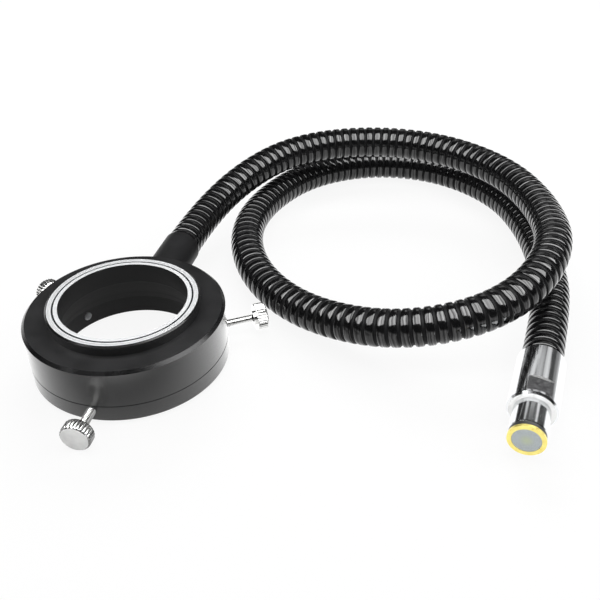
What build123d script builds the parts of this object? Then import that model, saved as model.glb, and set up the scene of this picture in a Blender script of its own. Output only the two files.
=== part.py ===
from build123d import *
import os
from math import cos, pi, radians, sin, tan

# A fibre-optic ring light guide, lying as it is laid on a table: the ring head upside down
# with its light slit up, the ribbed hose in one big loop and the source ferrule at its end.
# Millimetres. The origin is on the ring's axis at its mounting face, +Z is up and +X is to the
# right. The ring stands on its three knobs, so the table is a little below the origin.

# Ring head
HEAD_WIDTH = 10.8
RING_HEIGHT = 25.4
SEAM_HEIGHT = 7.75
NOSE_HEIGHT = 4.7
NOSE_WALL = 0.8
NOSE_CHAMFER = 0.5
EDGE_CHAMFER = 1.3
SEAM_CHAMFER = 0.25
SIDE_WALL = 2.8
TOP_WALL = 2.6
MOUNT_BORE = 66.0
FIT_CLEARANCE = 0.1
CUT_OVERRUN = 2.0

# Light slit: two bare rings with the fibre ends between them
APERTURE_STEP = 5.15
INNER_RING_WIDTH = 1.75
SLIT_WIDTH = 0.8
OUTER_RING_WIDTH = 2.0
NOSE_RING_SEAT = 1.4
SLIT_RECESS = 0.15

# Inner sleeve
THROAT_TAPER = 0.55
THROAT_DEPTH = 9.9
SLEEVE_WALL = 1.6
FOOT_WIDTH = 3.0
FOOT_HEIGHT = 1.25
STOP_LIP = 0.6

# Housing screws, countersunk from below
SCREW_COUNT = 3
SCREW_AZIMUTH = 48.5
SCREW_DIAMETER = 3.0
SCREW_HEAD_DIAMETER = 5.6
SCREW_HEAD_HEIGHT = 1.5
SCREW_LENGTH = 14.0
SCREW_SOCKET = 2.0
SCREW_SOCKET_DEPTH = 1.0
SCREW_SINK = 0.2
BOSS_DIAMETER = 6.0

# Fibre fan in the housing's chamber
FAN_CLEARANCE = 0.15
FAN_FLOOR_GAP = 1.6
FAN_SHOULDER = 3.4

# Thumbscrews
THUMBSCREW_NAMES = ("right", "left", "front")
THUMBSCREW_AZIMUTHS = (18.5, 138.5, 258.5)
THUMBSCREW_BACKED_OFF = (3.5, 7.7, 0.0)
THUMBSCREW_DROP = 2.75
THREAD_DIAMETER = 4.0
THREAD_CLEARANCE = 0.05
KNOB_DIAMETER = 13.0
KNOB_LENGTH = 5.5
KNOB_CHAMFER = 0.7
KNOB_DOME = 0.35
KNURL_COUNT = 28
KNURL_DEPTH = 0.42
SHOULDER_DIAMETER = 6.8
SHOULDER_LENGTH = 1.2
SHANK_LENGTH = 18.9
SHANK_CHAMFER = 0.4
TIP_DIAMETER = 2.6
TIP_LENGTH = 1.5
TIP_ROOT = 2.5
TIP_ROUND = 0.5
TIP_RECESS = 0.1

# Neck
NECK_AZIMUTH = 77.3
NECK_DROP = 10.9
NECK_LENGTH = 20.5
SPIGOT_WALL = 0.8
SPIGOT_TAIL_LENGTH = 12.0
NECK_SLEEVE_WALL = 0.5
NECK_SLEEVE_OVERLAP = 6.0
NECK_SLEEVE_ROUND = 0.4

# Hose and the fibre bundle in it
HOSE_WALL = 2.35
RIB_COUNT = 194
RIB_DEPTH = 1.0
RIB_SHARES = (0.0, 0.16, 0.70, 0.86)
RIBS_PER_BORE_RING = 3
TAIL_WALL = 1.1
TAIL_CLEARANCE = 0.1
PASSAGE_CLEARANCE = 0.2
BUNDLE_DIAMETER = 10.0
BUNDLE_SIDES = 8

# Source end
SOURCE_END = (175.8, -30.2)
SOURCE_HEADING = 247.9
FERRULE_WALL = 1.18
FERRULE_LENGTH = 31.3
FERRULE_CHAMFER = 0.8
SOCKET_DEPTH = 8.0
SOCKET_CLEARANCE = 0.12
WRENCH_FLAT_DEPTH = 1.3
WRENCH_LENGTH = 8.6
WRENCH_END_GAP = 1.9
WRENCH_TILT = 7.0
INSERT_FLANGE = 1.2
PLUG_LENGTH = 16.5
PLUG_SHOULDER = 0.4
PLUG_THREAD_WALL = 0.4
PLUG_THREAD_LENGTH = 10.0
PLUG_CHAMFER = 0.4
BRASS_TUBE_WALL = 0.9
BRASS_TUBE_LENGTH = 24.0
BRASS_RIM_LENGTH = 1.2
FIBRE_FACE_DIAMETER = 11.3
FIBRE_FACE_RECESS = 0.1
GROOVE_WIDTH = 2.0
GROOVE_RING_DEPTH = 0.25

# The hose's route between its two straight ends, points chosen along the photographed loop
HOSE_FIRST_RUN = 37.7
HOSE_LAST_RUN = 50.0
HOSE_POINTS = [
    (45.9, 129.9, 25.5),
    (76.0, 151.4, 32.0),
    (119.4, 159.0, 33.5),
    (162.2, 147.4, 33.0),
    (193.0, 115.1, 32.0),
    (204.0, 74.8, 30.0),
    (196.4, 26.3, 33.5),
    (166.2, -7.5, 26.5),
    (120.8, -11.1, 17.0),
    (80.6, 15.5, 7.5),
    (54.8, 48.5, 7.5),
    (45.8, 92.6, 7.5),
    (56.9, 132.9, 7.5),
    (85.1, 169.1, 7.5),
    (126.9, 183.3, 7.5),
    (169.2, 171.2, 7.5),
    (197.9, 136.9, 7.5),
    (206.0, 93.6, 7.5),
    (202.9, 48.3, 7.5),
]
ARC_SHARE = 0.45

# Radii and heights that follow from the sizes above
mount_radius = MOUNT_BORE / 2
ring_radius = mount_radius + HEAD_WIDTH
chamber_radius = ring_radius - SIDE_WALL
chamber_top = RING_HEIGHT - TOP_WALL
nose_top = RING_HEIGHT + NOSE_HEIGHT
aperture_radius = mount_radius - APERTURE_STEP
slit_inner_radius = aperture_radius + INNER_RING_WIDTH
slit_outer_radius = slit_inner_radius + SLIT_WIDTH
nose_ring_radius = slit_outer_radius + OUTER_RING_WIDTH
nose_radius = nose_ring_radius + FIT_CLEARANCE / 2 + NOSE_WALL
nose_ring_bottom = RING_HEIGHT - NOSE_RING_SEAT
throat_bottom = nose_top - THROAT_DEPTH
foot_radius = mount_radius + FOOT_WIDTH
register_inner = foot_radius + FIT_CLEARANCE
register_outer = chamber_radius - FIT_CLEARANCE
register_height = SEAM_HEIGHT + FOOT_HEIGHT
thumbscrew_height = SEAM_HEIGHT - THUMBSCREW_DROP
thread_radius = THREAD_DIAMETER / 2
shank_radius = thread_radius - THREAD_CLEARANCE
screw_reach = SHOULDER_LENGTH + SHANK_LENGTH + TIP_LENGTH
table_height = thumbscrew_height - KNOB_DIAMETER / 2
neck_height = RING_HEIGHT - NECK_DROP
hose_start_radius = ring_radius + NECK_LENGTH
passage_radius = BUNDLE_DIAMETER / 2 + PASSAGE_CLEARANCE
spigot_radius = passage_radius + SPIGOT_WALL
tail_radius = passage_radius + TAIL_WALL
hose_bore_radius = tail_radius + TAIL_CLEARANCE
hose_radius = hose_bore_radius + HOSE_WALL
neck_sleeve_bore = hose_radius + TAIL_CLEARANCE
socket_radius = hose_radius + SOCKET_CLEARANCE
ferrule_radius = socket_radius + FERRULE_WALL
fibre_face_radius = FIBRE_FACE_DIAMETER / 2
brass_tube_radius = fibre_face_radius + BRASS_TUBE_WALL
plug_bore_radius = brass_tube_radius + THREAD_CLEARANCE
plug_thread_radius = plug_bore_radius + PLUG_THREAD_WALL
plug_radius = plug_thread_radius + PLUG_SHOULDER
step_height = FERRULE_LENGTH - SOCKET_DEPTH
rim_height = step_height + PLUG_LENGTH
groove_bottom = rim_height - BRASS_RIM_LENGTH - GROOVE_WIDTH


def direction(azimuth):
    return Vector(cos(radians(azimuth)), sin(radians(azimuth)), 0)


neck_direction = direction(NECK_AZIMUTH)
neck_axis = Plane(origin=(0, 0, neck_height), x_dir=(0, 0, 1), z_dir=neck_direction)
source_direction = direction(SOURCE_HEADING)
source_end = Vector(SOURCE_END[0], SOURCE_END[1], table_height + ferrule_radius)
source_axis = Plane(origin=source_end, x_dir=(0, 0, 1), z_dir=source_direction)


def turned(*outline):
    """A lathe-turned piece: a closed outline of radius and height, spun about Z."""
    return revolve(make_face(Plane.XZ * Polyline(*outline, close=True)), Axis.Z)


def tube(inner_radius, outer_radius, bottom, top):
    return turned((inner_radius, bottom), (outer_radius, bottom), (outer_radius, top), (inner_radius, top))


def rod(radius, bottom, top):
    return Pos(0, 0, bottom) * extrude(Circle(radius), top - bottom)


# Ring head

def screw_places():
    return PolarLocations((register_inner + register_outer) / 2, SCREW_COUNT, start_angle=SCREW_AZIMUTH)


def make_upper_housing():
    counterbore = nose_ring_radius + FIT_CLEARANCE / 2
    shell = turned(
        (chamber_radius, SEAM_HEIGHT),
        (ring_radius - SEAM_CHAMFER, SEAM_HEIGHT),
        (ring_radius, SEAM_HEIGHT + SEAM_CHAMFER),
        (ring_radius, RING_HEIGHT - EDGE_CHAMFER),
        (ring_radius - EDGE_CHAMFER, RING_HEIGHT),
        (nose_radius, RING_HEIGHT),
        (nose_radius, nose_top - NOSE_CHAMFER),
        (nose_radius - NOSE_CHAMFER, nose_top),
        (counterbore, nose_top),
        (counterbore, nose_ring_bottom),
        (slit_outer_radius, nose_ring_bottom),
        (slit_outer_radius, chamber_top),
        (chamber_radius, chamber_top),
    )
    boss_bottom = register_height + FIT_CLEARANCE
    bosses = screw_places() * rod(BOSS_DIAMETER / 2, boss_bottom, chamber_top)
    hole_radius = SCREW_DIAMETER / 2 + THREAD_CLEARANCE
    hole_top = SCREW_SINK + SCREW_LENGTH + CUT_OVERRUN
    holes = screw_places() * rod(hole_radius, boss_bottom - CUT_OVERRUN, hole_top)
    neck_hole = neck_axis * rod(spigot_radius, chamber_radius - CUT_OVERRUN, ring_radius + CUT_OVERRUN)
    return shell + bosses - holes - neck_hole


def make_mounting_ring():
    ring = turned(
        (mount_radius, 0),
        (ring_radius - SEAM_CHAMFER, 0),
        (ring_radius, SEAM_CHAMFER),
        (ring_radius, SEAM_HEIGHT - SEAM_CHAMFER),
        (ring_radius - SEAM_CHAMFER, SEAM_HEIGHT),
        (register_outer, SEAM_HEIGHT),
        (register_outer, register_height),
        (register_inner, register_height),
        (register_inner, SEAM_HEIGHT),
        (mount_radius, SEAM_HEIGHT),
    )
    head_radius = SCREW_HEAD_DIAMETER / 2 + FIT_CLEARANCE
    clearance_radius = SCREW_DIAMETER / 2 + FIT_CLEARANCE
    head_bottom = SCREW_SINK + SCREW_HEAD_HEIGHT
    countersink = turned(
        (0, -CUT_OVERRUN),
        (head_radius, -CUT_OVERRUN),
        (head_radius, SCREW_SINK),
        (clearance_radius, head_bottom),
        (clearance_radius, register_height + CUT_OVERRUN),
        (0, register_height + CUT_OVERRUN),
    )
    ring -= screw_places() * countersink
    for azimuth in THUMBSCREW_AZIMUTHS:
        across = Plane(origin=(0, 0, thumbscrew_height), z_dir=direction(azimuth))
        ring -= across * rod(thread_radius, mount_radius - CUT_OVERRUN, ring_radius + CUT_OVERRUN)
    return ring


def make_housing_screws():
    head_radius = SCREW_HEAD_DIAMETER / 2
    shank = SCREW_DIAMETER / 2
    screw = turned(
        (0, SCREW_SINK),
        (head_radius, SCREW_SINK),
        (shank, SCREW_SINK + SCREW_HEAD_HEIGHT),
        (shank, SCREW_SINK + SCREW_LENGTH),
        (0, SCREW_SINK + SCREW_LENGTH),
    )
    hexagon = RegularPolygon(SCREW_SOCKET / 2, 6, major_radius=False)
    screw -= Pos(0, 0, SCREW_SINK) * extrude(hexagon, SCREW_SOCKET_DEPTH)
    return Part() + screw_places() * screw


def make_inner_sleeve():
    # its lower rim stands into the mount's bore, as the stop that the microscope meets
    stop_radius = mount_radius - STOP_LIP
    return turned(
        (aperture_radius, nose_top),
        (aperture_radius + THROAT_TAPER, throat_bottom),
        (stop_radius, register_height),
        (stop_radius, SEAM_HEIGHT),
        (foot_radius, SEAM_HEIGHT),
        (foot_radius, register_height),
        (mount_radius + SLEEVE_WALL, register_height),
        (slit_inner_radius, throat_bottom + SLEEVE_WALL),
        (slit_inner_radius, nose_top),
    )


def make_nose_ring():
    return tube(slit_outer_radius, nose_ring_radius, nose_ring_bottom, nose_top)


def make_fibre_annulus():
    inner = slit_inner_radius + FIT_CLEARANCE
    outer = slit_outer_radius - FIT_CLEARANCE
    return tube(inner, outer, nose_ring_bottom, nose_top - SLIT_RECESS)


def make_fibre_fan():
    # the fibres fill the chamber's outer part and close in to the slit under the nose ring
    inner = slit_inner_radius + FIT_CLEARANCE
    outer = slit_outer_radius - FIT_CLEARANCE
    fan_outer = chamber_radius - FAN_CLEARANCE
    fan_inner = mount_radius + SLEEVE_WALL + FAN_CLEARANCE
    fan_bottom = register_height + FAN_FLOOR_GAP
    fan_top = chamber_top - FAN_CLEARANCE
    fan = turned(
        (inner, nose_ring_bottom),
        (inner, throat_bottom + SLEEVE_WALL + FAN_CLEARANCE),
        (fan_inner, register_height + FAN_CLEARANCE),
        (fan_inner, fan_bottom),
        (fan_outer, fan_bottom),
        (fan_outer, fan_top - FAN_SHOULDER),
        (fan_outer - FAN_SHOULDER, fan_top),
        (outer, fan_top),
        (outer, nose_ring_bottom),
    )
    boss_space = rod(BOSS_DIAMETER / 2 + FAN_CLEARANCE, fan_bottom - CUT_OVERRUN, chamber_top)
    fan -= screw_places() * boss_space
    return fan + neck_axis * rod(BUNDLE_DIAMETER / 2, fan_inner + CUT_OVERRUN, ring_radius)


# Thumbscrews: built along Z, the knob below the origin and the tip up, then laid in their holes

def thumbscrew_place(azimuth, backed_off):
    knob_rear = mount_radius + TIP_RECESS + screw_reach + backed_off
    outward = direction(azimuth)
    origin = outward * knob_rear + Vector(0, 0, thumbscrew_height)
    return Plane(origin=origin, x_dir=(0, 0, 1), z_dir=-outward)


def knurl_groove():
    radius = KNOB_DIAMETER / 2
    half_pitch = pi * radius / KNURL_COUNT
    notch = Polyline(
        (radius - KNURL_DEPTH, 0),
        (radius + KNURL_DEPTH, half_pitch + KNURL_DEPTH),
        (radius + KNURL_DEPTH, -half_pitch - KNURL_DEPTH),
        close=True,
    )
    return Pos(0, 0, -KNOB_LENGTH - CUT_OVERRUN) * extrude(make_face(notch), KNOB_LENGTH + CUT_OVERRUN * 2)


def make_thumbscrew():
    knob = KNOB_DIAMETER / 2
    shoulder = SHOULDER_DIAMETER / 2
    shank_end = SHOULDER_LENGTH + SHANK_LENGTH
    face_radius = knob - KNOB_CHAMFER
    blank = turned(
        (0, -KNOB_LENGTH + KNOB_DOME),
        (face_radius, -KNOB_LENGTH + KNOB_DOME),
        (knob, -KNOB_LENGTH + KNOB_DOME + KNOB_CHAMFER),
        (knob, -KNOB_CHAMFER / 2),
        (knob - KNOB_CHAMFER / 2, 0),
        (0, 0),
    )
    for turn in range(KNURL_COUNT):
        blank -= Rot(0, 0, turn * 360 / KNURL_COUNT) * knurl_groove()
    arch = ThreePointArc(
        (-face_radius, -KNOB_LENGTH + KNOB_DOME),
        (0, -KNOB_LENGTH),
        (face_radius, -KNOB_LENGTH + KNOB_DOME),
    )
    cap = make_face(Plane.XZ * (arch + Line(arch @ 0, arch @ 1)))
    dome = revolve(split(cap, Plane.YZ), Axis.Z)
    shank = turned(
        (0, 0),
        (shoulder, 0),
        (shoulder, SHOULDER_LENGTH),
        (shank_radius, SHOULDER_LENGTH),
        (shank_radius, shank_end - SHANK_CHAMFER),
        (shank_radius - SHANK_CHAMFER, shank_end),
        (0, shank_end),
    )
    socket = rod(TIP_DIAMETER / 2 + THREAD_CLEARANCE, shank_end - TIP_ROOT, shank_end + CUT_OVERRUN)
    return blank + dome + shank - socket


def make_thumbscrew_tip():
    shank_end = SHOULDER_LENGTH + SHANK_LENGTH
    tip = rod(TIP_DIAMETER / 2, shank_end - TIP_ROOT + THREAD_CLEARANCE, screw_reach)
    return fillet(tip.edges().sort_by(Axis.Z)[-1], TIP_ROUND)


# Neck

def ring_wall():
    return rod(ring_radius + FIT_CLEARANCE / 2, 0, RING_HEIGHT)


def make_neck_spigot():
    body_radius = hose_radius - THREAD_CLEARANCE
    front = tube(passage_radius, spigot_radius, chamber_radius, hose_start_radius)
    back = tube(passage_radius, body_radius, chamber_radius, hose_start_radius)
    tail = tube(passage_radius, tail_radius, hose_start_radius, hose_start_radius + SPIGOT_TAIL_LENGTH)
    return neck_axis * front + (neck_axis * back - ring_wall()) + neck_axis * tail


def make_neck_sleeve():
    outer = neck_sleeve_bore + NECK_SLEEVE_WALL
    sleeve = tube(neck_sleeve_bore, outer, chamber_radius, hose_start_radius + NECK_SLEEVE_OVERLAP)
    mouth = sleeve.edges().group_by(Axis.Z)[-1].sort_by(SortBy.RADIUS)[-1]
    return neck_axis * fillet(mouth, NECK_SLEEVE_ROUND) - ring_wall()


# Hose

hose_start = neck_direction * hose_start_radius + Vector(0, 0, neck_height)
route = [hose_start, hose_start + neck_direction * HOSE_FIRST_RUN]
route += [Vector(*point) for point in HOSE_POINTS]
route += [source_end - source_direction * HOSE_LAST_RUN, source_end]


def route_radii(points):
    radii = []
    for before, corner, after in zip(points, points[1:], points[2:]):
        turn = radians((corner - before).get_angle(after - corner))
        shorter = min((corner - before).length, (after - corner).length)
        radii.append(ARC_SHARE * shorter / tan(turn / 2))
    return radii


def section_plane(path, share):
    tangent = path % share
    sideways = Vector(0, 0, 1).cross(tangent)
    return Plane(origin=path @ share, x_dir=sideways, z_dir=tangent)


def make_hose(path):
    groove_radius = hose_radius - RIB_DEPTH
    rib_radii = (groove_radius, hose_radius, hose_radius, groove_radius)
    outer_rings = []
    for rib in range(RIB_COUNT):
        for share, radius in zip(RIB_SHARES, rib_radii):
            outer_rings.append(section_plane(path, (rib + share) / RIB_COUNT) * Circle(radius))
    outer_rings.append(section_plane(path, 1) * Circle(groove_radius))
    bore_shares = [rib / RIB_COUNT for rib in range(0, RIB_COUNT, RIBS_PER_BORE_RING)] + [1]
    bore_rings = [section_plane(path, share) * Circle(hose_bore_radius) for share in bore_shares]
    return loft(outer_rings, ruled=True) - loft(bore_rings, ruled=True)


def make_fibre_bundle(radii):
    """The bundle follows the hose from the fan's tail in the neck to the packed fibre face."""
    start = neck_direction * ring_radius + Vector(0, 0, neck_height)
    finish = source_end + source_direction * (rim_height - BRASS_TUBE_LENGTH)
    path = FilletPolyline(start, *route[1:-1], finish, radius=radii)
    profile = section_plane(path, 0) * RegularPolygon(BUNDLE_DIAMETER / 2, BUNDLE_SIDES)
    return sweep(profile, path)


# Source end: built along Z from the hose's end, then laid on its axis

def make_hose_insert():
    flange = tube(passage_radius, hose_radius, 0, INSERT_FLANGE)
    return source_axis * (flange + tube(passage_radius, tail_radius, -SPIGOT_TAIL_LENGTH, 0))


def make_source_ferrule():
    thread = plug_thread_radius + THREAD_CLEARANCE
    thread_bottom = step_height - PLUG_THREAD_LENGTH
    body = turned(
        (socket_radius, -SOCKET_DEPTH),
        (ferrule_radius - FERRULE_CHAMFER / 2, -SOCKET_DEPTH),
        (ferrule_radius, -SOCKET_DEPTH + FERRULE_CHAMFER / 2),
        (ferrule_radius, step_height - FERRULE_CHAMFER),
        (ferrule_radius - FERRULE_CHAMFER, step_height),
        (thread, step_height),
        (thread, thread_bottom),
        (brass_tube_radius, thread_bottom),
        (brass_tube_radius, INSERT_FLANGE),
        (socket_radius, INSERT_FLANGE),
    )
    flat_middle = step_height - WRENCH_END_GAP - WRENCH_LENGTH / 2
    cut = Box(ferrule_radius * 2, ferrule_radius * 2, WRENCH_LENGTH)
    offset = ferrule_radius * 2 - WRENCH_FLAT_DEPTH
    for side in (1, -1):
        body -= Rot(0, 0, -WRENCH_TILT) * Pos(side * offset, 0, flat_middle) * cut
    return source_axis * body


def make_tip_ferrule():
    thread_bottom = step_height - PLUG_THREAD_LENGTH + FIT_CLEARANCE
    body = turned(
        (plug_bore_radius, thread_bottom),
        (plug_thread_radius, thread_bottom),
        (plug_thread_radius, step_height + FIT_CLEARANCE),
        (plug_radius, step_height + FIT_CLEARANCE),
        (plug_radius, groove_bottom - PLUG_CHAMFER),
        (plug_radius - PLUG_CHAMFER, groove_bottom),
        (plug_bore_radius, groove_bottom),
    )
    return source_axis * body


def make_groove_ring():
    outer = plug_radius - GROOVE_RING_DEPTH
    return source_axis * tube(plug_bore_radius, outer, groove_bottom, groove_bottom + GROOVE_WIDTH)


def make_brass_end_ring():
    rim_bottom = rim_height - BRASS_RIM_LENGTH
    flanged = turned(
        (fibre_face_radius, rim_height - BRASS_TUBE_LENGTH),
        (brass_tube_radius, rim_height - BRASS_TUBE_LENGTH),
        (brass_tube_radius, rim_bottom),
        (plug_radius, rim_bottom),
        (plug_radius, rim_height),
        (fibre_face_radius, rim_height),
    )
    return source_axis * flanged


def make_fibre_face():
    bottom = rim_height - BRASS_TUBE_LENGTH
    return source_axis * rod(fibre_face_radius - THREAD_CLEARANCE, bottom, rim_height - FIBRE_FACE_RECESS)


radii = route_radii(route)
hose_path = FilletPolyline(*route, radius=radii)

parts = {
    "upper_housing": make_upper_housing(),
    "mounting_ring": make_mounting_ring(),
    "housing_screws": make_housing_screws(),
    "inner_sleeve": make_inner_sleeve(),
    "nose_ring": make_nose_ring(),
    "fibre_annulus": make_fibre_annulus(),
    "fibre_fan": make_fibre_fan(),
    "neck_spigot": make_neck_spigot(),
    "neck_sleeve": make_neck_sleeve(),
    "hose": make_hose(hose_path),
    "fibre_bundle": make_fibre_bundle(radii),
    "hose_insert": make_hose_insert(),
    "source_ferrule": make_source_ferrule(),
    "tip_ferrule": make_tip_ferrule(),
    "groove_ring": make_groove_ring(),
    "brass_end_ring": make_brass_end_ring(),
    "fibre_face": make_fibre_face(),
}

thumbscrew = make_thumbscrew()
thumbscrew_tip = make_thumbscrew_tip()
for name, azimuth, backed_off in zip(THUMBSCREW_NAMES, THUMBSCREW_AZIMUTHS, THUMBSCREW_BACKED_OFF):
    place = thumbscrew_place(azimuth, backed_off)
    parts["thumbscrew_" + name] = place * thumbscrew
    parts["thumbscrew_tip_" + name] = place * thumbscrew_tip

os.makedirs("parts", exist_ok=True)
for name, solid in parts.items():
    solid.label = name
    export_step(solid, "parts/" + name + ".step")

print("corner radii:", [round(radius, 1) for radius in radii])
print("route length:", round(hose_path.length, 1))
hose = parts["hose"]
crest_section = pi * (hose_radius**2 - hose_bore_radius**2)
print("hose volume:", round(hose.volume), "of", round(crest_section * hose_path.length), "with no grooves")
bundle_section = BUNDLE_SIDES / 2 * (BUNDLE_DIAMETER / 2) ** 2 * sin(2 * pi / BUNDLE_SIDES)
print("bundle volume:", round(parts["fibre_bundle"].volume), "section:", round(bundle_section, 2))
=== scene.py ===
from math import cos, pi, radians, sin

import bpy
import numpy as np
from mathutils import Matrix, Vector


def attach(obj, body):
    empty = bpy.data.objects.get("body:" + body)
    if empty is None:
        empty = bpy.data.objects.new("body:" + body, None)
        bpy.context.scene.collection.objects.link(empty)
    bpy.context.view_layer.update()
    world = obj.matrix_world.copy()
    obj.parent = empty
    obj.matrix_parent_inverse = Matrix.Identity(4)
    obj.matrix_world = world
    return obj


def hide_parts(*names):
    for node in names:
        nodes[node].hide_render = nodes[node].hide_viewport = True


# The looks of a fibre-optic ring light guide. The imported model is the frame, in metres. Its pieces
# are painted here, and the hose and the thumbscrews get finer meshes. Sizes are in millimetres
# times MM.

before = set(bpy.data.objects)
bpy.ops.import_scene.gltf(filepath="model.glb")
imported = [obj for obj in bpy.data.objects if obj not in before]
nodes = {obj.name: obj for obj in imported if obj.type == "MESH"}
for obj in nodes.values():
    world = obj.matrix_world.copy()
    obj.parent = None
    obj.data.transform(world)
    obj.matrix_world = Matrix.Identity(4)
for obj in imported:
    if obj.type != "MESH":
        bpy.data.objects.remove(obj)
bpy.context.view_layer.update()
MM = 0.001

# The photograph's camera
CAMERA_PLACE = (76.7, -259.1, 211.5)
CAMERA_TILT = 35.34
CAMERA_ROLL = -1.073
CAMERA_LENS = 43.75
SENSOR_WIDTH = 36.0

# Studio. The glow's edge and core say how well a direction there agrees with the glow's own
ROOM_TONE = 0.03
GLOW_TONE = 0.09
GLOW_DIRECTION = (0.50, 0.80, 0.34)
GLOW_EDGE = 0.75
GLOW_CORE = 0.96
HORIZON_TONE = 0.8
HORIZON_HEIGHT = 0.14
FLOOR_REACH = 3000.0
PAPER_TONE = 0.86
SEEN_PAPER_SHARE = 0.90
MIRRORED_PAPER_SHARE = 0.75

# The paper's glow as the gloss mirrors it, painted light with painted shade in it. Each span goes
# from one place to another and has the paper's tone at both. The brightest of the first three holds,
# which leaves a dim band in front of the ring head as its painted shadow, and the last dims it round
# the ring's axis as painted shade
PAINTED_GLOW_BEHIND = (-60.0, 10.0, 0.18, 1.8)
PAINTED_GLOW_BEFORE = (-66.0, -84.0, 0.0, 1.2)
PAINTED_GLOW_BESIDE = (62.0, 80.0, 0.0, 1.55)
PAINTED_SHADE_INSIDE = (36.0, 42.0, 0.18, 1.0)

# Lamps, in metres and watts: name, place, width, depth and power. The first one and the cards show
# only in the gloss, and the lights only light the object
GLOSS_LAMP = ("overhead_gloss", (0.12, -0.06, 0.45), 1.30, 0.48, 17.0)
GLOSS_LAMP_AIM = (0.12, -0.06, 0.0)
CARDS = [
    ("source_card", (0.185, 0.344, 0.22), 0.17, 0.13, 0.0040),
    ("upper_card", (0.279, 0.260, 0.275), 0.125, 0.055, 0.0008),
    ("side_card", (0.402, 0.210, 0.242), 0.12, 0.08, 0.0016),
    ("low_card", (0.52, 0.165, 0.08), 0.06, 0.10, 0.00028),
]
CARDS_AIM = (0.172, -0.02, 0.01)
LIGHTS = [
    ("overhead_light", (0.10, 0.15, 1.00), 0.90, 0.90, 5.0),
    ("back_light", (0.05, 0.95, 0.65), 0.80, 0.40, 9.0),
    ("right_light", (0.80, 0.00, 0.60), 0.60, 0.60, 3.5),
    ("left_light", (-0.70, 0.10, 0.60), 0.50, 0.50, 1.5),
    ("front_light", (0.10, -0.85, 0.45), 0.80, 0.40, 3.0),
]
LIGHTS_AIM = (0.10, 0.05, 0.0)
CARD_SPREAD = 45
LAMP_SPREAD = 180

# Ring head. It stands on its knobs, so the table is a little below the mounting face at zero
TABLE_HEIGHT = -1.5
NOSE_TOP = 30.1
MOUNT_BORE = 66.0

# Thumbscrews: name, azimuth and how far each is backed off
RIGHT_AZIMUTH = 18.5
LEFT_AZIMUTH = 138.5
FRONT_AZIMUTH = 258.5
THUMBSCREWS = [
    ("right", RIGHT_AZIMUTH, 3.5),
    ("left", LEFT_AZIMUTH, 7.7),
    ("front", FRONT_AZIMUTH, 0.0),
]
THUMBSCREW_HEIGHT = 5.0
KNOB_UNDERSIDE = 54.7

# A thumbscrew is built along its own Z, with the knob's underside at zero and its end below that.
# The dome's rings are at shares of its radius, and the cuts are the thread's depth round a turn
KNOB_DIAMETER = 13.0
KNOB_LENGTH = 5.5
KNOB_DOME = 0.35
KNOB_DOME_SHARES = (0.0, 0.25, 0.5, 0.75, 0.94)
KNOB_MIDDLE_RADIUS = 0.01
KNOB_CHAMFER = 0.7
KNOB_SHARP_ANGLE = 32
KNURL_COUNT = 28
KNURL_STEPS = 8
KNURL_DEPTH = 0.42
KNURL_CREST_SHARE = 0.15
SHOULDER_DIAMETER = 6.8
SHOULDER_LENGTH = 1.2
SHOULDER_CHAMFER = 0.15
SHOULDER_FILLET = 0.3
SHOULDER_FILLET_HEIGHT = 0.05
THREAD_DIAMETER = 3.9
THREAD_DEPTH = 0.32
THREAD_PITCH = 0.7
THREAD_CUTS = (0.0, 0.25, 0.8, 1.0, 0.8, 0.25)
THREAD_COLUMNS = 32
THREAD_SHARP_ANGLE = 50
SHANK_LENGTH = 18.9

# The knob's rounded corners at its end and its underside. Each row is a share of the chamfer's
# height, how far in it lies from the full radius, and its share of the knurl's depth
END_CORNER = [
    (0.45, 0.35, 0.12),
    (0.80, 0.10, 0.60),
    (1.00, 0.00, 1.00),
]
UNDERSIDE_CORNER = [
    (1.00, 0.00, 1.00),
    (0.60, 0.06, 0.90),
    (0.20, 0.25, 0.40),
    (0.00, 0.45, 0.00),
]

# The hose's route: its two straight ends and the points between them, as in the model's source
NECK_AZIMUTH = 77.3
NECK_HEIGHT = 14.5
HOSE_START = 64.3
HOSE_FIRST_RUN = 37.7
HOSE_LAST_RUN = 50.0
HOSE_POINTS = [
    (45.9, 129.9, 25.5),
    (76.0, 151.4, 32.0),
    (119.4, 159.0, 33.5),
    (162.2, 147.4, 33.0),
    (193.0, 115.1, 32.0),
    (204.0, 74.8, 30.0),
    (196.4, 26.3, 33.5),
    (166.2, -7.5, 26.5),
    (120.8, -11.1, 17.0),
    (80.6, 15.5, 7.5),
    (54.8, 48.5, 7.5),
    (45.8, 92.6, 7.5),
    (56.9, 132.9, 7.5),
    (85.1, 169.1, 7.5),
    (126.9, 183.3, 7.5),
    (169.2, 171.2, 7.5),
    (197.9, 136.9, 7.5),
    (206.0, 93.6, 7.5),
    (202.9, 48.3, 7.5),
]
SOURCE_END = (175.8, -30.2, 8.55)
SOURCE_HEADING = 247.9
ROUTE_ORDER = 3
ROUTE_STEPS = 24
HOSE_DIAMETER = 17.5
HOSE_SHARP_ANGLE = 80
ALONG_HOSE = "along_hose"
RIB_COUNT = 194
RIB_COLUMNS = 44
RIB_DEPTH = 1.0

# One of the hose's ribs, from groove to groove: a flat crest with round shoulders. Each row is a
# share of the rib's pitch and a share of the groove's depth. What lies deeper than the last share
# is the groove, which isn't glossy
RIB_ROWS = [
    (0.00, 1.00),
    (0.07, 1.00),
    (0.11, 0.85),
    (0.15, 0.42),
    (0.20, 0.12),
    (0.28, 0.02),
    (0.50, 0.00),
    (0.72, 0.02),
    (0.80, 0.12),
    (0.85, 0.42),
    (0.89, 0.85),
    (0.93, 1.00),
]
GROOVE_DEPTH_SHARE = 0.4

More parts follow.
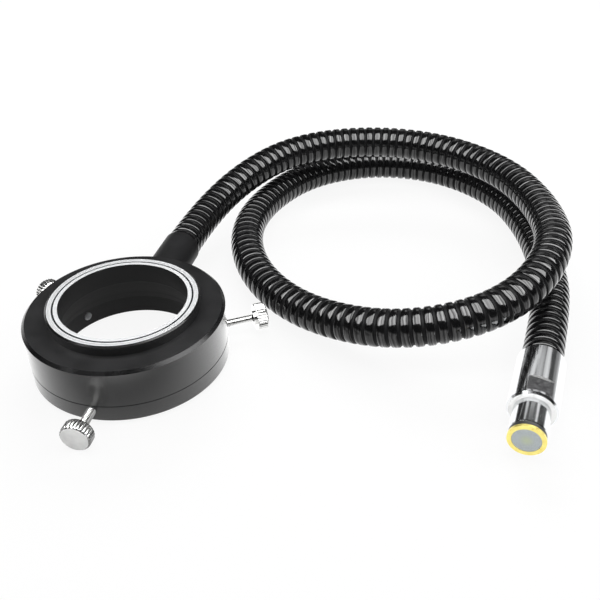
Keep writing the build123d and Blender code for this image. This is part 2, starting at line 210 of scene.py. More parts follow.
# Source end, with its heights from the hose's end and along the source's heading
STEP_HEIGHT = 23.3
FERRULE_DIAMETER = 20.1
WRENCH_FLAT_INSET = 0.6
PLUG_LENGTH = 16.5
FIBRE_FACE_DIAMETER = 11.3
FIBRE_MIDDLE_SHARE = 0.32

# How much of a face's normal lies along a direction: nearly all of it, half or hardly any
FACING_SHARE = 0.9
SLANTING_SHARE = 0.5
SQUARE_SHARE = 0.1
FACE_MARGIN = 0.1

# The numbers of a Mix node's colour sockets, and what most of a noise's values lie between
MIX_FIRST = 6
MIX_SECOND = 7
MIX_RESULT = 2
MASK_LOW = 0.3
MASK_HIGH = 0.7


def heading(azimuth):
    return Vector((cos(radians(azimuth)), sin(radians(azimuth)), 0))


# Shader helpers

def object_place(tree):
    return tree.nodes.new("ShaderNodeTexCoord").outputs["Object"]


def axes_of(tree, place):
    node = tree.nodes.new("ShaderNodeSeparateXYZ")
    tree.links.new(place, node.inputs[0])
    return node.outputs


def fill(tree, socket, value):
    """The value goes into the socket, as a link where it is a socket itself."""
    if isinstance(value, bpy.types.NodeSocket):
        tree.links.new(value, socket)
    else:
        socket.default_value = value


def maths(tree, operation, first, second=0.0):
    """One sum of two values, each a socket or a plain number."""
    node = tree.nodes.new("ShaderNodeMath")
    node.operation = operation
    fill(tree, node.inputs[0], first)
    fill(tree, node.inputs[1], second)
    return node.outputs[0]


def vector_maths(tree, operation, first, second=(0, 0, 0)):
    """One sum of two vectors whose answer is a plain number."""
    node = tree.nodes.new("ShaderNodeVectorMath")
    node.operation = operation
    fill(tree, node.inputs[0], first)
    fill(tree, node.inputs[1], second)
    return node.outputs["Value"]


def span(tree, value, start, end, low, high, smooth=False):
    """A value's stretch from start to end, carried over to low and high and held beyond them."""
    node = tree.nodes.new("ShaderNodeMapRange")
    if smooth:
        node.interpolation_type = "SMOOTHSTEP"
    for socket, number in zip(node.inputs[1:5], (start, end, low, high)):
        socket.default_value = number
    tree.links.new(value, node.inputs["Value"])
    return node.outputs[0]


def mix_shaders(tree, share, first, second, output):
    """The tree's output goes from the first shader to the second by the share."""
    mix = tree.nodes.new("ShaderNodeMixShader")
    tree.links.new(share, mix.inputs["Fac"])
    tree.links.new(first.outputs[0], mix.inputs[1])
    tree.links.new(second.outputs[0], mix.inputs[2])
    out = tree.nodes.new(output)
    tree.links.new(mix.outputs[0], out.inputs["Surface"])


# Camera, backdrop and lamps

def add_camera():
    data = bpy.data.cameras.new("camera")
    data.lens = CAMERA_LENS
    data.sensor_width = SENSOR_WIDTH
    camera = bpy.data.objects.new("camera", data)
    place = Matrix.Translation(Vector(CAMERA_PLACE) * MM)
    tilt = Matrix.Rotation(radians(90 - CAMERA_TILT), 4, "X")
    roll = Matrix.Rotation(radians(CAMERA_ROLL), 4, "Z")
    camera.matrix_world = place @ tilt @ roll
    bpy.context.scene.collection.objects.link(camera)
    bpy.context.scene.camera = camera


def paper_span(tree, place, row):
    start, end, low, high = row
    return span(tree, place, start * MM, end * MM, low, high)


def make_paper():
    """White paper that keeps the object's shadow, lit up for the camera so that it shows white.

    The gloss on the object mirrors it as glowing paper, a painted reflection, with a dim band in front
    of the ring head as its painted shadow and dimmer paper round the ring's axis as painted shade.
    """
    material = bpy.data.materials.new("white_paper")
    material.use_nodes = True
    tree = material.node_tree
    tree.nodes.clear()
    place = object_place(tree)
    axes = axes_of(tree, place)
    # Painted light: for the gloss the paper glows by place, with a painted shadow in front of the ring
    # head and painted shade round its axis
    behind = paper_span(tree, axes["Y"], PAINTED_GLOW_BEHIND)
    before = paper_span(tree, axes["Y"], PAINTED_GLOW_BEFORE)
    beside = paper_span(tree, axes["X"], PAINTED_GLOW_BESIDE)
    painted_shade = paper_span(tree, vector_maths(tree, "LENGTH", place), PAINTED_SHADE_INSIDE)
    painted_glow = maths(tree, "MAXIMUM", maths(tree, "MAXIMUM", behind, before), beside)
    tone = maths(tree, "MULTIPLY", painted_glow, painted_shade)
    rays = tree.nodes.new("ShaderNodeLightPath")
    camera_ray = rays.outputs["Is Camera Ray"]
    other_ray = maths(tree, "SUBTRACT", 1.0, camera_ray)
    lit = tree.nodes.new("ShaderNodeEmission")
    strength = maths(tree, "ADD", camera_ray, maths(tree, "MULTIPLY", tone, other_ray))
    tree.links.new(strength, lit.inputs["Strength"])
    paper = tree.nodes.new("ShaderNodeBsdfDiffuse")
    paper.inputs["Color"].default_value = (PAPER_TONE, PAPER_TONE, PAPER_TONE, 1)
    seen = maths(tree, "MULTIPLY", camera_ray, SEEN_PAPER_SHARE)
    mirrored = maths(tree, "MULTIPLY", rays.outputs["Is Glossy Ray"], MIRRORED_PAPER_SHARE)
    share = maths(tree, "MAXIMUM", seen, mirrored)
    mix_shaders(tree, share, paper, lit, "ShaderNodeOutputMaterial")
    return material


def add_floor():
    low = TABLE_HEIGHT * MM
    reach = FLOOR_REACH * MM
    corners = [(-reach, -reach, low), (reach, -reach, low), (reach, reach, low), (-reach, reach, low)]
    mesh = bpy.data.meshes.new("floor")
    mesh.from_pydata(corners, [], [(0, 1, 2, 3)])
    mesh.materials.append(make_paper())
    floor = bpy.data.objects.new("floor", mesh)
    bpy.context.scene.collection.objects.link(floor)


def add_studio():
    """A dark room with a glow on its back wall, and white where the camera looks past the floor."""
    world = bpy.data.worlds.new("studio")
    bpy.context.scene.world = world
    world.use_nodes = True
    tree = world.node_tree
    tree.nodes.clear()
    direction = tree.nodes.new("ShaderNodeTexCoord").outputs["Generated"]
    towards = vector_maths(tree, "DOT_PRODUCT", direction, GLOW_DIRECTION)
    glow = span(tree, towards, GLOW_EDGE, GLOW_CORE, ROOM_TONE, GLOW_TONE, smooth=True)
    horizon = span(tree, axes_of(tree, direction)["Z"], 0.0, HORIZON_HEIGHT, HORIZON_TONE, 0.0)
    room = tree.nodes.new("ShaderNodeBackground")
    tree.links.new(maths(tree, "MAXIMUM", glow, horizon), room.inputs["Color"])
    white = tree.nodes.new("ShaderNodeBackground")
    white.inputs["Color"].default_value = (1, 1, 1, 1)
    camera_ray = tree.nodes.new("ShaderNodeLightPath").outputs["Is Camera Ray"]
    mix_shaders(tree, camera_ray, room, white, "ShaderNodeOutputWorld")


def add_lamp(row, aim, spread, for_gloss):
    """A flat lamp: one for gloss shows only in reflections, the others only light what they face."""
    name, place, width, depth, power = row
    data = bpy.data.lights.new(name, "AREA")
    data.shape = "RECTANGLE"
    data.size = width
    data.size_y = depth
    data.energy = power
    data.spread = radians(spread)
    lamp = bpy.data.objects.new(name, data)
    facing = Vector(aim) - Vector(place)
    turn = facing.to_track_quat("-Z", "Y").to_matrix().to_4x4()
    lamp.matrix_world = Matrix.Translation(place) @ turn
    lamp.visible_diffuse = not for_gloss
    lamp.visible_glossy = for_gloss
    bpy.context.scene.collection.objects.link(lamp)


def add_lamps():
    add_lamp(GLOSS_LAMP, GLOSS_LAMP_AIM, LAMP_SPREAD, for_gloss=True)
    for card in CARDS:
        add_lamp(card, CARDS_AIM, CARD_SPREAD, for_gloss=True)
    for light in LIGHTS:
        add_lamp(light, LIGHTS_AIM, LAMP_SPREAD, for_gloss=False)


# Surface effects that the finishes share

def new_group(name, inputs, outputs):
    """A node group with number sockets, each input with its usual value."""
    group = bpy.data.node_groups.new(name, "ShaderNodeTree")
    kind = "NodeSocketFloat"
    for socket, value in inputs:
        made = group.interface.new_socket(name=socket, in_out="INPUT", socket_type=kind)
        made.default_value = value
    for socket in outputs:
        group.interface.new_socket(name=socket, in_out="OUTPUT", socket_type=kind)
    entry = group.nodes.new("NodeGroupInput")
    leave = group.nodes.new("NodeGroupOutput")
    return group, entry.outputs, leave.inputs


def place_group(tree, group, **values):
    node = tree.nodes.new("ShaderNodeGroup")
    node.node_tree = group
    for name, value in values.items():
        node.inputs[name.replace("_", " ")].default_value = value
    return node.outputs


def noise(tree, place, scale, detail=2.0):
    node = tree.nodes.new("ShaderNodeTexNoise")
    node.inputs["Detail"].default_value = detail
    tree.links.new(place, node.inputs["Vector"])
    fill(tree, node.inputs["Scale"], scale)
    return node.outputs["Fac"]


def make_grain_group():
    """Fine blasted or moulded grain with broad soft mottling."""
    group, given, made = new_group(
        "surface_grain",
        [("Grains Per Metre", 4000.0), ("Mottling Per Metre", 60.0)],
        ["Height", "Mottling"],
    )
    place = object_place(group)
    group.links.new(noise(group, place, given["Grains Per Metre"]), made["Height"])
    mottling = noise(group, place, given["Mottling Per Metre"], detail=4.0)
    group.links.new(mottling, made["Mottling"])
    return group


def make_turning_group():
    """Lathe lines round the piece's own Z axis, uneven in depth from line to line."""
    group, given, made = new_group(
        "turning_lines",
        [("Lines Per Metre", 6000.0), ("Broad Share", 0.12)],
        ["Height", "Sheen"],
    )
    axes = axes_of(group, object_place(group))
    across = maths(group, "MULTIPLY", axes["X"], axes["X"])
    along = maths(group, "MULTIPLY", axes["Y"], axes["Y"])
    radius = maths(group, "SQRT", maths(group, "ADD", across, along))
    where = group.nodes.new("ShaderNodeCombineXYZ")
    group.links.new(radius, where.inputs["X"])
    group.links.new(axes["Z"], where.inputs["Y"])
    place = where.outputs[0]
    group.links.new(noise(group, place, given["Lines Per Metre"], detail=1.0), made["Height"])
    broad = maths(group, "MULTIPLY", given["Lines Per Metre"], given["Broad Share"])
    group.links.new(noise(group, place, broad, detail=3.0), made["Sheen"])
    return group


def make_fibre_group():
    """Packed round fibre ends: a cell for each fibre, some brighter than others."""
    group, given, made = new_group(
        "fibre_ends",
        [("Fibres Per Metre", 9000.0)],
        ["Height", "Brightness"],
    )
    cells = group.nodes.new("ShaderNodeTexVoronoi")
    group.links.new(object_place(group), cells.inputs["Vector"])
    group.links.new(given["Fibres Per Metre"], cells.inputs["Scale"])
    tone = group.nodes.new("ShaderNodeSeparateColor")
    group.links.new(cells.outputs["Color"], tone.inputs[0])
    group.links.new(cells.outputs["Distance"], made["Height"])
    group.links.new(tone.outputs["Red"], made["Brightness"])
    return group


def make_streak_group():
    """Stretch marks round a hose, by the distance along it that its mesh keeps, a little uneven."""
    group, given, made = new_group(
        "stretch_marks",
        [("Marks Per Metre", 1500.0), ("Bends Per Metre", 250.0), ("Bend", 1.5)],
        ["Gloss"],
    )
    along = group.nodes.new("ShaderNodeAttribute")
    along.attribute_name = ALONG_HOSE
    place = maths(group, "MULTIPLY", along.outputs["Fac"], given["Marks Per Metre"])
    bends = noise(group, object_place(group), given["Bends Per Metre"])
    bent = maths(group, "MULTIPLY", bends, given["Bend"])
    marks = group.nodes.new("ShaderNodeTexNoise")
    marks.noise_dimensions = "1D"
    marks.inputs["Scale"].default_value = 1.0
    group.links.new(maths(group, "ADD", place, bent), marks.inputs["W"])
    group.links.new(marks.outputs["Fac"], made["Gloss"])
    return group


grain_group = make_grain_group()
turning_group = make_turning_group()
fibre_group = make_fibre_group()
streak_group = make_streak_group()


# Finishes

def new_finish(name, colour, roughness, metallic=0.0):
    material = bpy.data.materials.new(name)
    material.use_nodes = True
    shader = material.node_tree.nodes["Principled BSDF"]
    shader.inputs["Base Color"].default_value = (*colour, 1)
    shader.inputs["Roughness"].default_value = roughness
    shader.inputs["Metallic"].default_value = metallic
    return material, material.node_tree, shader


def vary(tree, shader, mask, socket, low, high):
    """The mask moves a plain value between two ends."""
    value = span(tree, mask, MASK_LOW, MASK_HIGH, low, high)
    tree.links.new(value, shader.inputs[socket])


def tint(tree, shader, mask, dark, light):
    """The mask moves the base colour between two ends."""
    ramp = tree.nodes.new("ShaderNodeMix")
    ramp.data_type = "RGBA"
    ramp.inputs[MIX_FIRST].default_value = (*dark, 1)
    ramp.inputs[MIX_SECOND].default_value = (*light, 1)
    tree.links.new(mask, ramp.inputs["Factor"])
    tree.links.new(ramp.outputs[MIX_RESULT], shader.inputs["Base Color"])
    return ramp


def relief(tree, shader, height, depth, strength):
    bump = tree.nodes.new("ShaderNodeBump")
    bump.inputs["Strength"].default_value = strength
    bump.inputs["Distance"].default_value = depth * MM
    tree.links.new(height, bump.inputs["Height"])
    tree.links.new(bump.outputs[0], shader.inputs["Normal"])


def make_anodised_top(name, specular, smooth, rough):
    material, tree, shader = new_finish(name, (0.010, 0.010, 0.0105), rough)
    shader.inputs["Specular IOR Level"].default_value = specular
    grain = place_group(tree, grain_group, Grains_Per_Metre=2600.0, Mottling_Per_Metre=90.0)
    tint(tree, shader, grain["Mottling"], (0.003, 0.003, 0.0032), (0.011, 0.011, 0.0115))
    vary(tree, shader, grain["Mottling"], "Roughness", smooth, rough)
    relief(tree, shader, grain["Height"], depth=0.04, strength=0.5)
    return material


def make_anodised_wall():
    material, tree, shader = new_finish("anodised_wall", (0.010, 0.010, 0.0105), 0.15)
    shader.inputs["Specular IOR Level"].default_value = 1.0
    shader.inputs["Coat Weight"].default_value = 1.0
    shader.inputs["Coat Roughness"].default_value = 0.22
    grain = place_group(tree, grain_group, Grains_Per_Metre=1800.0, Mottling_Per_Metre=70.0)
    turning = place_group(tree, turning_group, Lines_Per_Metre=3500.0)
    tint(tree, shader, grain["Mottling"], (0.003, 0.003, 0.0032), (0.006, 0.006, 0.0063))
    vary(tree, shader, turning["Sheen"], "Roughness", 0.20, 0.28)
    relief(tree, shader, turning["Height"], depth=0.003, strength=0.3)
    return material


def make_bore_black():
    material, tree, shader = new_finish("bore_black", (0.006, 0.006, 0.0063), 0.48)
    shader.inputs["Specular IOR Level"].default_value = 0.50
    turning = place_group(tree, turning_group, Lines_Per_Metre=2500.0)
    tint(tree, shader, turning["Sheen"], (0.004, 0.004, 0.0042), (0.008, 0.008, 0.0084))
    vary(tree, shader, turning["Sheen"], "Roughness", 0.42, 0.54)
    relief(tree, shader, turning["Height"], depth=0.01, strength=0.5)
    return material


def make_ground_aluminium():
    material, tree, shader = new_finish("ground_aluminium", (0.80, 0.81, 0.82), 0.42, metallic=0.3)
    turning = place_group(tree, turning_group, Lines_Per_Metre=5200.0)
    grain = place_group(tree, grain_group, Grains_Per_Metre=1500.0, Mottling_Per_Metre=220.0)
    tint(tree, shader, grain["Mottling"], (0.68, 0.69, 0.70), (0.88, 0.89, 0.90))
    vary(tree, shader, turning["Sheen"], "Roughness", 0.26, 0.36)
    relief(tree, shader, turning["Height"], depth=0.003, strength=0.3)
    return material


def make_nickel(name, roughness, depth, tone, metallic=1.0):
    blue_share = 0.99
    darker_share = 0.9
    lighter_share = 1.1
    smooth = roughness * 0.8
    rough = roughness * 1.25
    colour = Vector((tone, tone, tone * blue_share))
    material, tree, shader = new_finish(name, colour, roughness, metallic)
    grain = place_group(tree, grain_group, Grains_Per_Metre=5000.0, Mottling_Per_Metre=400.0)
    tint(tree, shader, grain["Mottling"], colour * darker_share, colour * lighter_share)
    vary(tree, shader, grain["Mottling"], "Roughness", smooth, rough)
    relief(tree, shader, grain["Height"], depth, strength=0.6)
    return material


def make_chrome():
    material, tree, shader = new_finish("chrome_plate", (0.68, 0.69, 0.70), 0.12, metallic=1.0)
    grain = place_group(tree, grain_group, Grains_Per_Metre=900.0, Mottling_Per_Metre=120.0)
    tint(tree, shader, grain["Mottling"], (0.62, 0.63, 0.64), (0.73, 0.74, 0.75))
    vary(tree, shader, grain["Mottling"], "Roughness", 0.10, 0.16)
    relief(tree, shader, grain["Height"], depth=0.008, strength=0.3)
    return material


def make_milled_steel():
    # The flats' dark tone is painted shade, far darker than the steel; their milled roughness and
    # grain are their own
    material, tree, shader = new_finish("milled_flat_painted_shade", (0.13, 0.13, 0.13), 0.34, metallic=1.0)
    grain = place_group(tree, grain_group, Grains_Per_Metre=3000.0, Mottling_Per_Metre=900.0)
    tint(tree, shader, grain["Mottling"], (0.03, 0.03, 0.031), (0.13, 0.13, 0.133))
    vary(tree, shader, grain["Mottling"], "Roughness", 0.28, 0.42)
    relief(tree, shader, grain["Height"], depth=0.02, strength=0.5)
    return material


def make_vinyl(name, specular, smooth, rough):
    material, tree, shader = new_finish(name, (0.005, 0.005, 0.0055), rough)
    shader.inputs["Specular IOR Level"].default_value = specular
    grain = place_group(tree, grain_group, Grains_Per_Metre=700.0, Mottling_Per_Metre=150.0)
    tint(tree, shader, grain["Mottling"], (0.003, 0.003, 0.0033), (0.007, 0.007, 0.0075))
    vary(tree, shader, grain["Mottling"], "Roughness", smooth, rough)
    relief(tree, shader, grain["Height"], depth=0.01, strength=0.25)
    return material


def add_streaks(material):
    """Bands of full and faint gloss from the stretch of the hose's skin."""
    shader = material.node_tree.nodes["Principled BSDF"]
    shader.inputs["Coat Roughness"].default_value = 0.12
    shader.inputs["Coat IOR"].default_value = 1.58
    streaks = place_group(material.node_tree, streak_group, Marks_Per_Metre=1200.0)
    vary(material.node_tree, shader, streaks["Gloss"], "Coat Weight", 0.1, 1.0)


def make_sleeving():
    material, tree, shader = new_finish("black_sleeving", (0.006, 0.006, 0.0063), 0.50)
    shader.inputs["Specular IOR Level"].default_value = 0.15
    grain = place_group(tree, grain_group, Grains_Per_Metre=2200.0, Mottling_Per_Metre=80.0)
    tint(tree, shader, grain["Mottling"], (0.003, 0.003, 0.0032), (0.007, 0.007, 0.0074))
    vary(tree, shader, grain["Mottling"], "Roughness", 0.44, 0.58)
    relief(tree, shader, grain["Height"], depth=0.03, strength=0.5)
    return material


def make_nylon():
    material, tree, shader = new_finish("white_nylon", (0.82, 0.82, 0.80), 0.45)
    grain = place_group(tree, grain_group, Grains_Per_Metre=4000.0, Mottling_Per_Metre=600.0)
    tint(tree, shader, grain["Mottling"], (0.74, 0.74, 0.72), (0.88, 0.88, 0.86))
    relief(tree, shader, grain["Height"], depth=0.02, strength=0.4)
    return material


def make_black_oxide():
    material, tree, shader = new_finish("black_oxide", (0.03, 0.03, 0.031), 0.38, metallic=1.0)
    grain = place_group(tree, grain_group, Grains_Per_Metre=5000.0, Mottling_Per_Metre=500.0)
    tint(tree, shader, grain["Mottling"], (0.02, 0.02, 0.021), (0.05, 0.05, 0.052))
    relief(tree, shader, grain["Height"], depth=0.02, strength=0.5)
    return material


def make_black_rubber():
    material, tree, shader = new_finish("black_rubber", (0.010, 0.010, 0.010), 0.45)
    grain = place_group(tree, grain_group, Grains_Per_Metre=3500.0, Mottling_Per_Metre=300.0)
    tint(tree, shader, grain["Mottling"], (0.007, 0.007, 0.007), (0.014, 0.014, 0.014))
    relief(tree, shader, grain["Height"], depth=0.02, strength=0.5)
    return material


def make_brass():
    material, tree, shader = new_finish("ground_brass", (0.82, 0.68, 0.20), 0.30, metallic=0.8)
    grain = place_group(tree, grain_group, Grains_Per_Metre=3000.0, Mottling_Per_Metre=350.0)
    tint(tree, shader, grain["Mottling"], (0.60, 0.46, 0.10), (0.98, 0.88, 0.30))
    vary(tree, shader, grain["Mottling"], "Roughness", 0.25, 0.42)
    relief(tree, shader, grain["Height"], depth=0.01, strength=0.5)
    return material


def make_fibre_ends(name, dark, light):
    material, tree, shader = new_finish(name, light, 0.22)
    shader.inputs["Coat Weight"].default_value = 0.5
    shader.inputs["Coat Roughness"].default_value = 0.12
    ends = place_group(tree, fibre_group, Fibres_Per_Metre=7000.0)
    tint(tree, shader, ends["Brightness"], dark, light)
    relief(tree, shader, ends["Height"], depth=0.02, strength=0.4)
    return material


def tint_middle(material, colour):
    """The colour already there turns to another towards the middle of the source end's face."""
    tree = material.node_tree
    shader = tree.nodes["Principled BSDF"]
    base = shader.inputs["Base Color"].links[0].from_socket
    middle = Vector(SOURCE_END) + heading(SOURCE_HEADING) * (STEP_HEIGHT + PLUG_LENGTH)
    away = vector_maths(tree, "DISTANCE", object_place(tree), middle * MM)
    reach = FIBRE_FACE_DIAMETER * MM * FIBRE_MIDDLE_SHARE
    near = span(tree, away, 0.0, reach, 1.0, 0.0, smooth=True)
    ramp = tint(tree, shader, near, colour, colour)
    tree.links.new(base, ramp.inputs[MIX_FIRST])


anodised_top = make_anodised_top("anodised_top", specular=0.15, smooth=0.40, rough=0.52)
anodised_edge = make_anodised_top("anodised_edge", specular=0.26, smooth=0.16, rough=0.24)
anodised_wall = make_anodised_wall()
bore_black = make_bore_black()
ground_aluminium = make_ground_aluminium()
bright_nickel = make_nickel("bright_nickel", roughness=0.18, depth=0.010, tone=0.66)
satin_nickel = make_nickel("satin_nickel", roughness=0.42, depth=0.035, tone=0.90, metallic=0.3)
# The bottoms of the knurl's grooves: nickel darkened as painted shade
painted_shade_nickel = make_nickel("painted_shade_nickel", roughness=0.35, depth=0.010, tone=0.13)
chrome_plate = make_chrome()
milled_flat_painted_shade = make_milled_steel()
gloss_vinyl = make_vinyl("gloss_vinyl", specular=0.08, smooth=0.10, rough=0.18)
add_streaks(gloss_vinyl)
groove_vinyl = make_vinyl("groove_vinyl", specular=0.10, smooth=0.45, rough=0.60)
black_sleeving = make_sleeving()
white_nylon = make_nylon()
black_oxide = make_black_oxide()
black_rubber = make_black_rubber()
ground_brass = make_brass()
fibre_slit = make_fibre_ends("fibre_slit", dark=(0.006, 0.007, 0.008), light=(0.04, 0.045, 0.052))
fibre_rod_end = make_fibre_ends("fibre_rod_end", dark=(0.34, 0.38, 0.40), light=(0.50, 0.55, 0.57))
tint_middle(fibre_rod_end, (0.46, 0.52, 0.36))


# Paint. Each test tells whether a face takes a finish of its own

def dress(mesh, finish, *others):
    """A mesh takes one finish, and each of the others on the faces that its test picks."""
    mesh.materials.clear()
    mesh.materials.append(finish)
    for other, test in others:
        mesh.materials.append(other)
        for face in mesh.polygons:
            if test(face):
                face.material_index = len(mesh.materials) - 1


def is_level_or_chamfer(face):
    return abs(face.normal.z) > SLANTING_SHARE


def is_chamfer(face):
    return SLANTING_SHARE < abs(face.normal.z) < FACING_SHARE


def is_nose_top(face):
    return face.normal.z > FACING_SHARE and face.center.z > (NOSE_TOP - FACE_MARGIN) * MM


def is_mount_bore(face):
    return face.center.xy.length < (MOUNT_BORE / 2 + FACE_MARGIN) * MM


def in_left_hole(face):
    """The wall of the tapped hole whose screw stands back."""
    outward = heading(LEFT_AZIMUTH)
    off = face.center - Vector((0, 0, THUMBSCREW_HEIGHT * MM))
    out = off.dot(outward)
    off -= outward * out
    is_wall = abs(face.normal.dot(outward)) < SLANTING_SHARE
    return out > 0 and off.length < THREAD_DIAMETER * MM and is_wall


def is_turned_end(face):
    return face.normal.dot(heading(SOURCE_HEADING)) > FACING_SHARE


def is_wrench_flat(face):
    """The flats lie further in than the round that they are cut in."""
    axis = heading(SOURCE_HEADING)
    off = face.center - Vector(SOURCE_END) * MM
    off -= axis * off.dot(axis)
    is_outside = face.normal.dot(off) > 0
    is_square = abs(face.normal.dot(axis)) < SQUARE_SHARE
    is_near = off.length < (FERRULE_DIAMETER / 2 - WRENCH_FLAT_INSET) * MM
    return is_outside and is_square and is_near


def is_knob_end(face):
    """The dome that the fingers press."""
    return face.center.z < (KNOB_DOME - KNOB_LENGTH) * MM


def is_knurl_groove(face):
    """The bottom of the knurl's grooves, between the knob's two rounded corners, where the nickel is
    darkened as painted shade.
    """
    is_bottom = face.index % KNURL_STEPS in (0, KNURL_STEPS - 1)
    return is_bottom and (KNOB_CHAMFER - KNOB_LENGTH) * MM < face.center.z < -KNOB_CHAMFER / 2 * MM


def paint(name, finish, *others):
    dress(nodes[name].data, finish, *others)


def paint_nodes():
    matt = (anodised_top, is_level_or_chamfer)
    edge = (anodised_edge, is_chamfer)
    bore = (bore_black, is_mount_bore)
    ground = (ground_aluminium, is_nose_top)
    # The wrench flats take the steel darkened as painted shade
    hole = (ground_aluminium, in_left_hole)
    flats = (milled_flat_painted_shade, is_wrench_flat)
    ends = (satin_nickel, is_turned_end)
    paint("upper_housing", anodised_wall, matt, edge)
    paint("mounting_ring", anodised_wall, matt, bore, hole)
    paint("inner_sleeve", bore_black, ground)
    paint("nose_ring", ground_aluminium)
    paint("neck_spigot", ground_aluminium)
    paint("hose_insert", ground_aluminium)
    paint("housing_screws", black_oxide)
    for name in ("fibre_annulus", "fibre_fan", "fibre_bundle"):
        paint(name, fibre_slit)
    paint("fibre_face", fibre_rod_end)
    paint("neck_sleeve", black_sleeving)
    paint("source_ferrule", chrome_plate, flats, ends)
    paint("tip_ferrule", chrome_plate)
    paint("groove_ring", black_rubber)
    paint("brass_end_ring", ground_brass)


# Meshes

def add_piece(name, points, faces, sharp_angle, finish, *others):
    mesh = bpy.data.meshes.new(name)
    mesh.from_pydata([tuple(point) for point in points], [], faces)
    mesh.shade_smooth()
    mesh.set_sharp_from_angle(angle=radians(sharp_angle))
    dress(mesh, finish, *others)
    piece = bpy.data.objects.new(name, mesh)
    bpy.context.scene.collection.objects.link(piece)
    return piece


def ring_faces(ring_count, columns):
    """The faces between closed rings of points, ring after ring."""
    faces = []
    for ring in range(ring_count - 1):
        low = ring * columns
        high = low + columns
        for column in range(columns):
            beside = (column + 1) % columns
            faces.append((low + column, low + beside, high + beside, high + column))
    return faces


# Hose

def route_line():
    """The hose's centreline: points read from one smooth spline over the route's points."""
    start = heading(NECK_AZIMUTH) * HOSE_START + Vector((0, 0, NECK_HEIGHT))
    finish = Vector(SOURCE_END)
    controls = [start, start + heading(NECK_AZIMUTH) * HOSE_FIRST_RUN]
    controls += [Vector(point) for point in HOSE_POINTS]
    controls += [finish - heading(SOURCE_HEADING) * HOSE_LAST_RUN, finish]
    curve = bpy.data.curves.new("hose_route", "CURVE")
    curve.dimensions = "3D"
    curve.resolution_u = ROUTE_STEPS
    spline = curve.splines.new("NURBS")
    spline.points.add(len(controls) - 1)
    for point, control in zip(spline.points, controls):
        point.co = (*(control * MM), 1)
    spline.order_u = ROUTE_ORDER
    spline.use_endpoint_u = True
    guide = bpy.data.objects.new("hose_route", curve)
    line = bpy.data.meshes.new_from_object(guide)
    points = [vertex.co.copy() for vertex in line.vertices]
    bpy.data.objects.remove(guide)
    return points


def carried_frames(points):
    """A row for each point: its distance along the line, its place, and an untwisted side and rise."""
    tangents = []
    for before, after in zip(points[:1] + points[:-1], points[1:] + points[-1:]):
        tangents.append((after - before).normalized())
    side = tangents[0].cross(Vector((0, 0, 1))).normalized()
    rows = []
    travelled = 0.0
    previous = points[0]
    for point, tangent in zip(points, tangents):
        travelled += (point - previous).length
        previous = point
        side = (side - tangent * side.dot(tangent)).normalized()
        rows.append([travelled, *point, *side, *tangent.cross(side)])
    return np.array(rows)


def add_hose(points):
    """A skin of ribs, each square to the line, along the whole hose, with a matt groove between."""
    frames = carried_frames(points)
    pitch_shares, depth_shares = np.array(RIB_ROWS).T
    ribs = np.repeat(np.arange(RIB_COUNT), len(RIB_ROWS))
    shares = np.tile(pitch_shares, RIB_COUNT)
    along = np.append((ribs + shares) / RIB_COUNT, 1.0) * frames[-1, 0]
    depth = np.append(np.tile(depth_shares, RIB_COUNT), 1.0) * RIB_DEPTH
    at = np.array([np.interp(along, frames[:, 0], column) for column in frames.T[1:]])
    centre, side, rise = at[0:3, :, None], at[3:6, :, None], at[6:9, :, None]
    radius = (HOSE_DIAMETER / 2 - depth[:, None]) * MM
    angle = np.arange(RIB_COLUMNS) / RIB_COLUMNS * 2 * pi
    skin = centre + radius * (side * np.cos(angle) + rise * np.sin(angle))
    skin = skin.reshape(3, -1).T
    faces = ring_faces(len(along), RIB_COLUMNS)
    piece = add_piece("ribbed_hose", skin, faces, HOSE_SHARP_ANGLE, gloss_vinyl)
    piece.data.materials.append(groove_vinyl)
    is_low = depth > GROOVE_DEPTH_SHARE * RIB_DEPTH
    in_groove = np.repeat(is_low[:-1] & is_low[1:], RIB_COLUMNS)
    piece.data.polygons.foreach_set("material_index", in_groove.astype(np.int32))
    kept = piece.data.attributes.new(ALONG_HOSE, "FLOAT", "POINT")
    kept.data.foreach_set("value", np.repeat(along, RIB_COLUMNS).astype(np.float32))
    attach(piece, "root")
    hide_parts("hose")
    return piece


# Thumbscrews

def knob_rows():
    """The knob's rings from its end to its shoulder: height, radius, share of the knurl's depth."""
    radius = KNOB_DIAMETER / 2
    flat = radius - KNOB_CHAMFER
    rim = KNOB_DOME - KNOB_LENGTH
    rows = []
    for share in KNOB_DOME_SHARES:
        rows.append((KNOB_DOME * share**2 - KNOB_LENGTH, flat * share + KNOB_MIDDLE_RADIUS, 0.0))
    rows.append((rim, flat, 0.0))
    for share, inset, depth in END_CORNER:
        rows.append((rim + KNOB_CHAMFER * share, radius - inset, depth))
    for share, inset, depth in UNDERSIDE_CORNER:
        rows.append((-KNOB_CHAMFER * share, radius - inset, depth))
    shoulder = SHOULDER_DIAMETER / 2
    rows.append((0.0, shoulder + SHOULDER_FILLET, 0.0))
    rows.append((SHOULDER_FILLET_HEIGHT, shoulder, 0.0))
    rows.append((SHOULDER_LENGTH - SHOULDER_CHAMFER, shoulder, 0.0))
    rows.append((SHOULDER_LENGTH, shoulder - SHOULDER_CHAMFER, 0.0))
    rows.append((SHOULDER_LENGTH, THREAD_DIAMETER / 2 - THREAD_DEPTH, 0.0))
    return rows


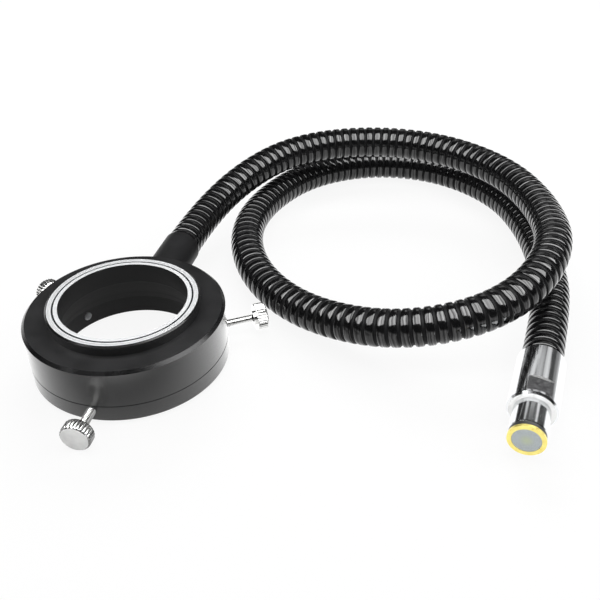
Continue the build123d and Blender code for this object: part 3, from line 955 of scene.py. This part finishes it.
def add_knob(name):
    columns = KNURL_COUNT * KNURL_STEPS
    rows = knob_rows()
    points = []
    for height, radius, depth in rows:
        for column in range(columns):
            angle = 2 * pi * column / columns
            valley = abs((column % KNURL_STEPS) / KNURL_STEPS * 2 - 1)
            share = max(0.0, valley - KNURL_CREST_SHARE) / (1 - KNURL_CREST_SHARE)
            reach = (radius - KNURL_DEPTH * depth * share) * MM
            points.append((reach * cos(angle), reach * sin(angle), height * MM))
    faces = ring_faces(len(rows), columns)
    faces.append(tuple(reversed(range(columns))))
    end = (satin_nickel, is_knob_end)
    # The bottoms of the knurl's grooves take the nickel darkened as painted shade
    grooves = (painted_shade_nickel, is_knurl_groove)
    return add_piece(name, points, faces, KNOB_SHARP_ANGLE, bright_nickel, end, grooves)


def add_threaded_shank(name):
    """A shank with one thread wound along it, so that each turn runs on into the next."""
    steps = len(THREAD_CUTS)
    rows = int(SHANK_LENGTH / THREAD_PITCH) * steps
    points = []
    for row in range(rows + 1):
        reach = (THREAD_DIAMETER / 2 - THREAD_DEPTH * THREAD_CUTS[row % steps]) * MM
        for column in range(THREAD_COLUMNS):
            share = column / THREAD_COLUMNS
            angle = 2 * pi * share
            height = min((row / steps + share) * THREAD_PITCH, SHANK_LENGTH)
            points.append((reach * cos(angle), reach * sin(angle), (SHOULDER_LENGTH + height) * MM))
    faces = []
    for row in range(rows):
        for column in range(THREAD_COLUMNS):
            here = row * THREAD_COLUMNS + column
            beside = here + 1
            if column == THREAD_COLUMNS - 1:
                if row + 1 + steps > rows:
                    continue
                beside = (row + steps) * THREAD_COLUMNS
            faces.append((here, beside, beside + THREAD_COLUMNS, here + THREAD_COLUMNS))
    return add_piece(name, points, faces, THREAD_SHARP_ANGLE, bright_nickel)


def add_thumbscrew(name, azimuth, backed_off):
    knob = add_knob("knob_" + name)
    shank = add_threaded_shank("threaded_shank_" + name)
    outward = heading(azimuth)
    up = Vector((0, 0, 1))
    origin = outward * (KNOB_UNDERSIDE + backed_off) + up * THUMBSCREW_HEIGHT
    across = (-outward).cross(up)
    turn = Matrix((up, across, -outward)).transposed().to_4x4()
    for piece in (knob, shank):
        piece.matrix_world = Matrix.Translation(origin * MM) @ turn
        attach(piece, "screw_" + name)
    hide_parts("thumbscrew_" + name)
    paint("thumbscrew_tip_" + name, white_nylon)


add_camera()
add_floor()
add_studio()
add_lamps()
paint_nodes()
hose_line = route_line()
hose = add_hose(hose_line)
for name, azimuth, backed_off in THUMBSCREWS:
    add_thumbscrew(name, azimuth, backed_off)

bpy.context.scene.view_settings.view_transform = "Standard"
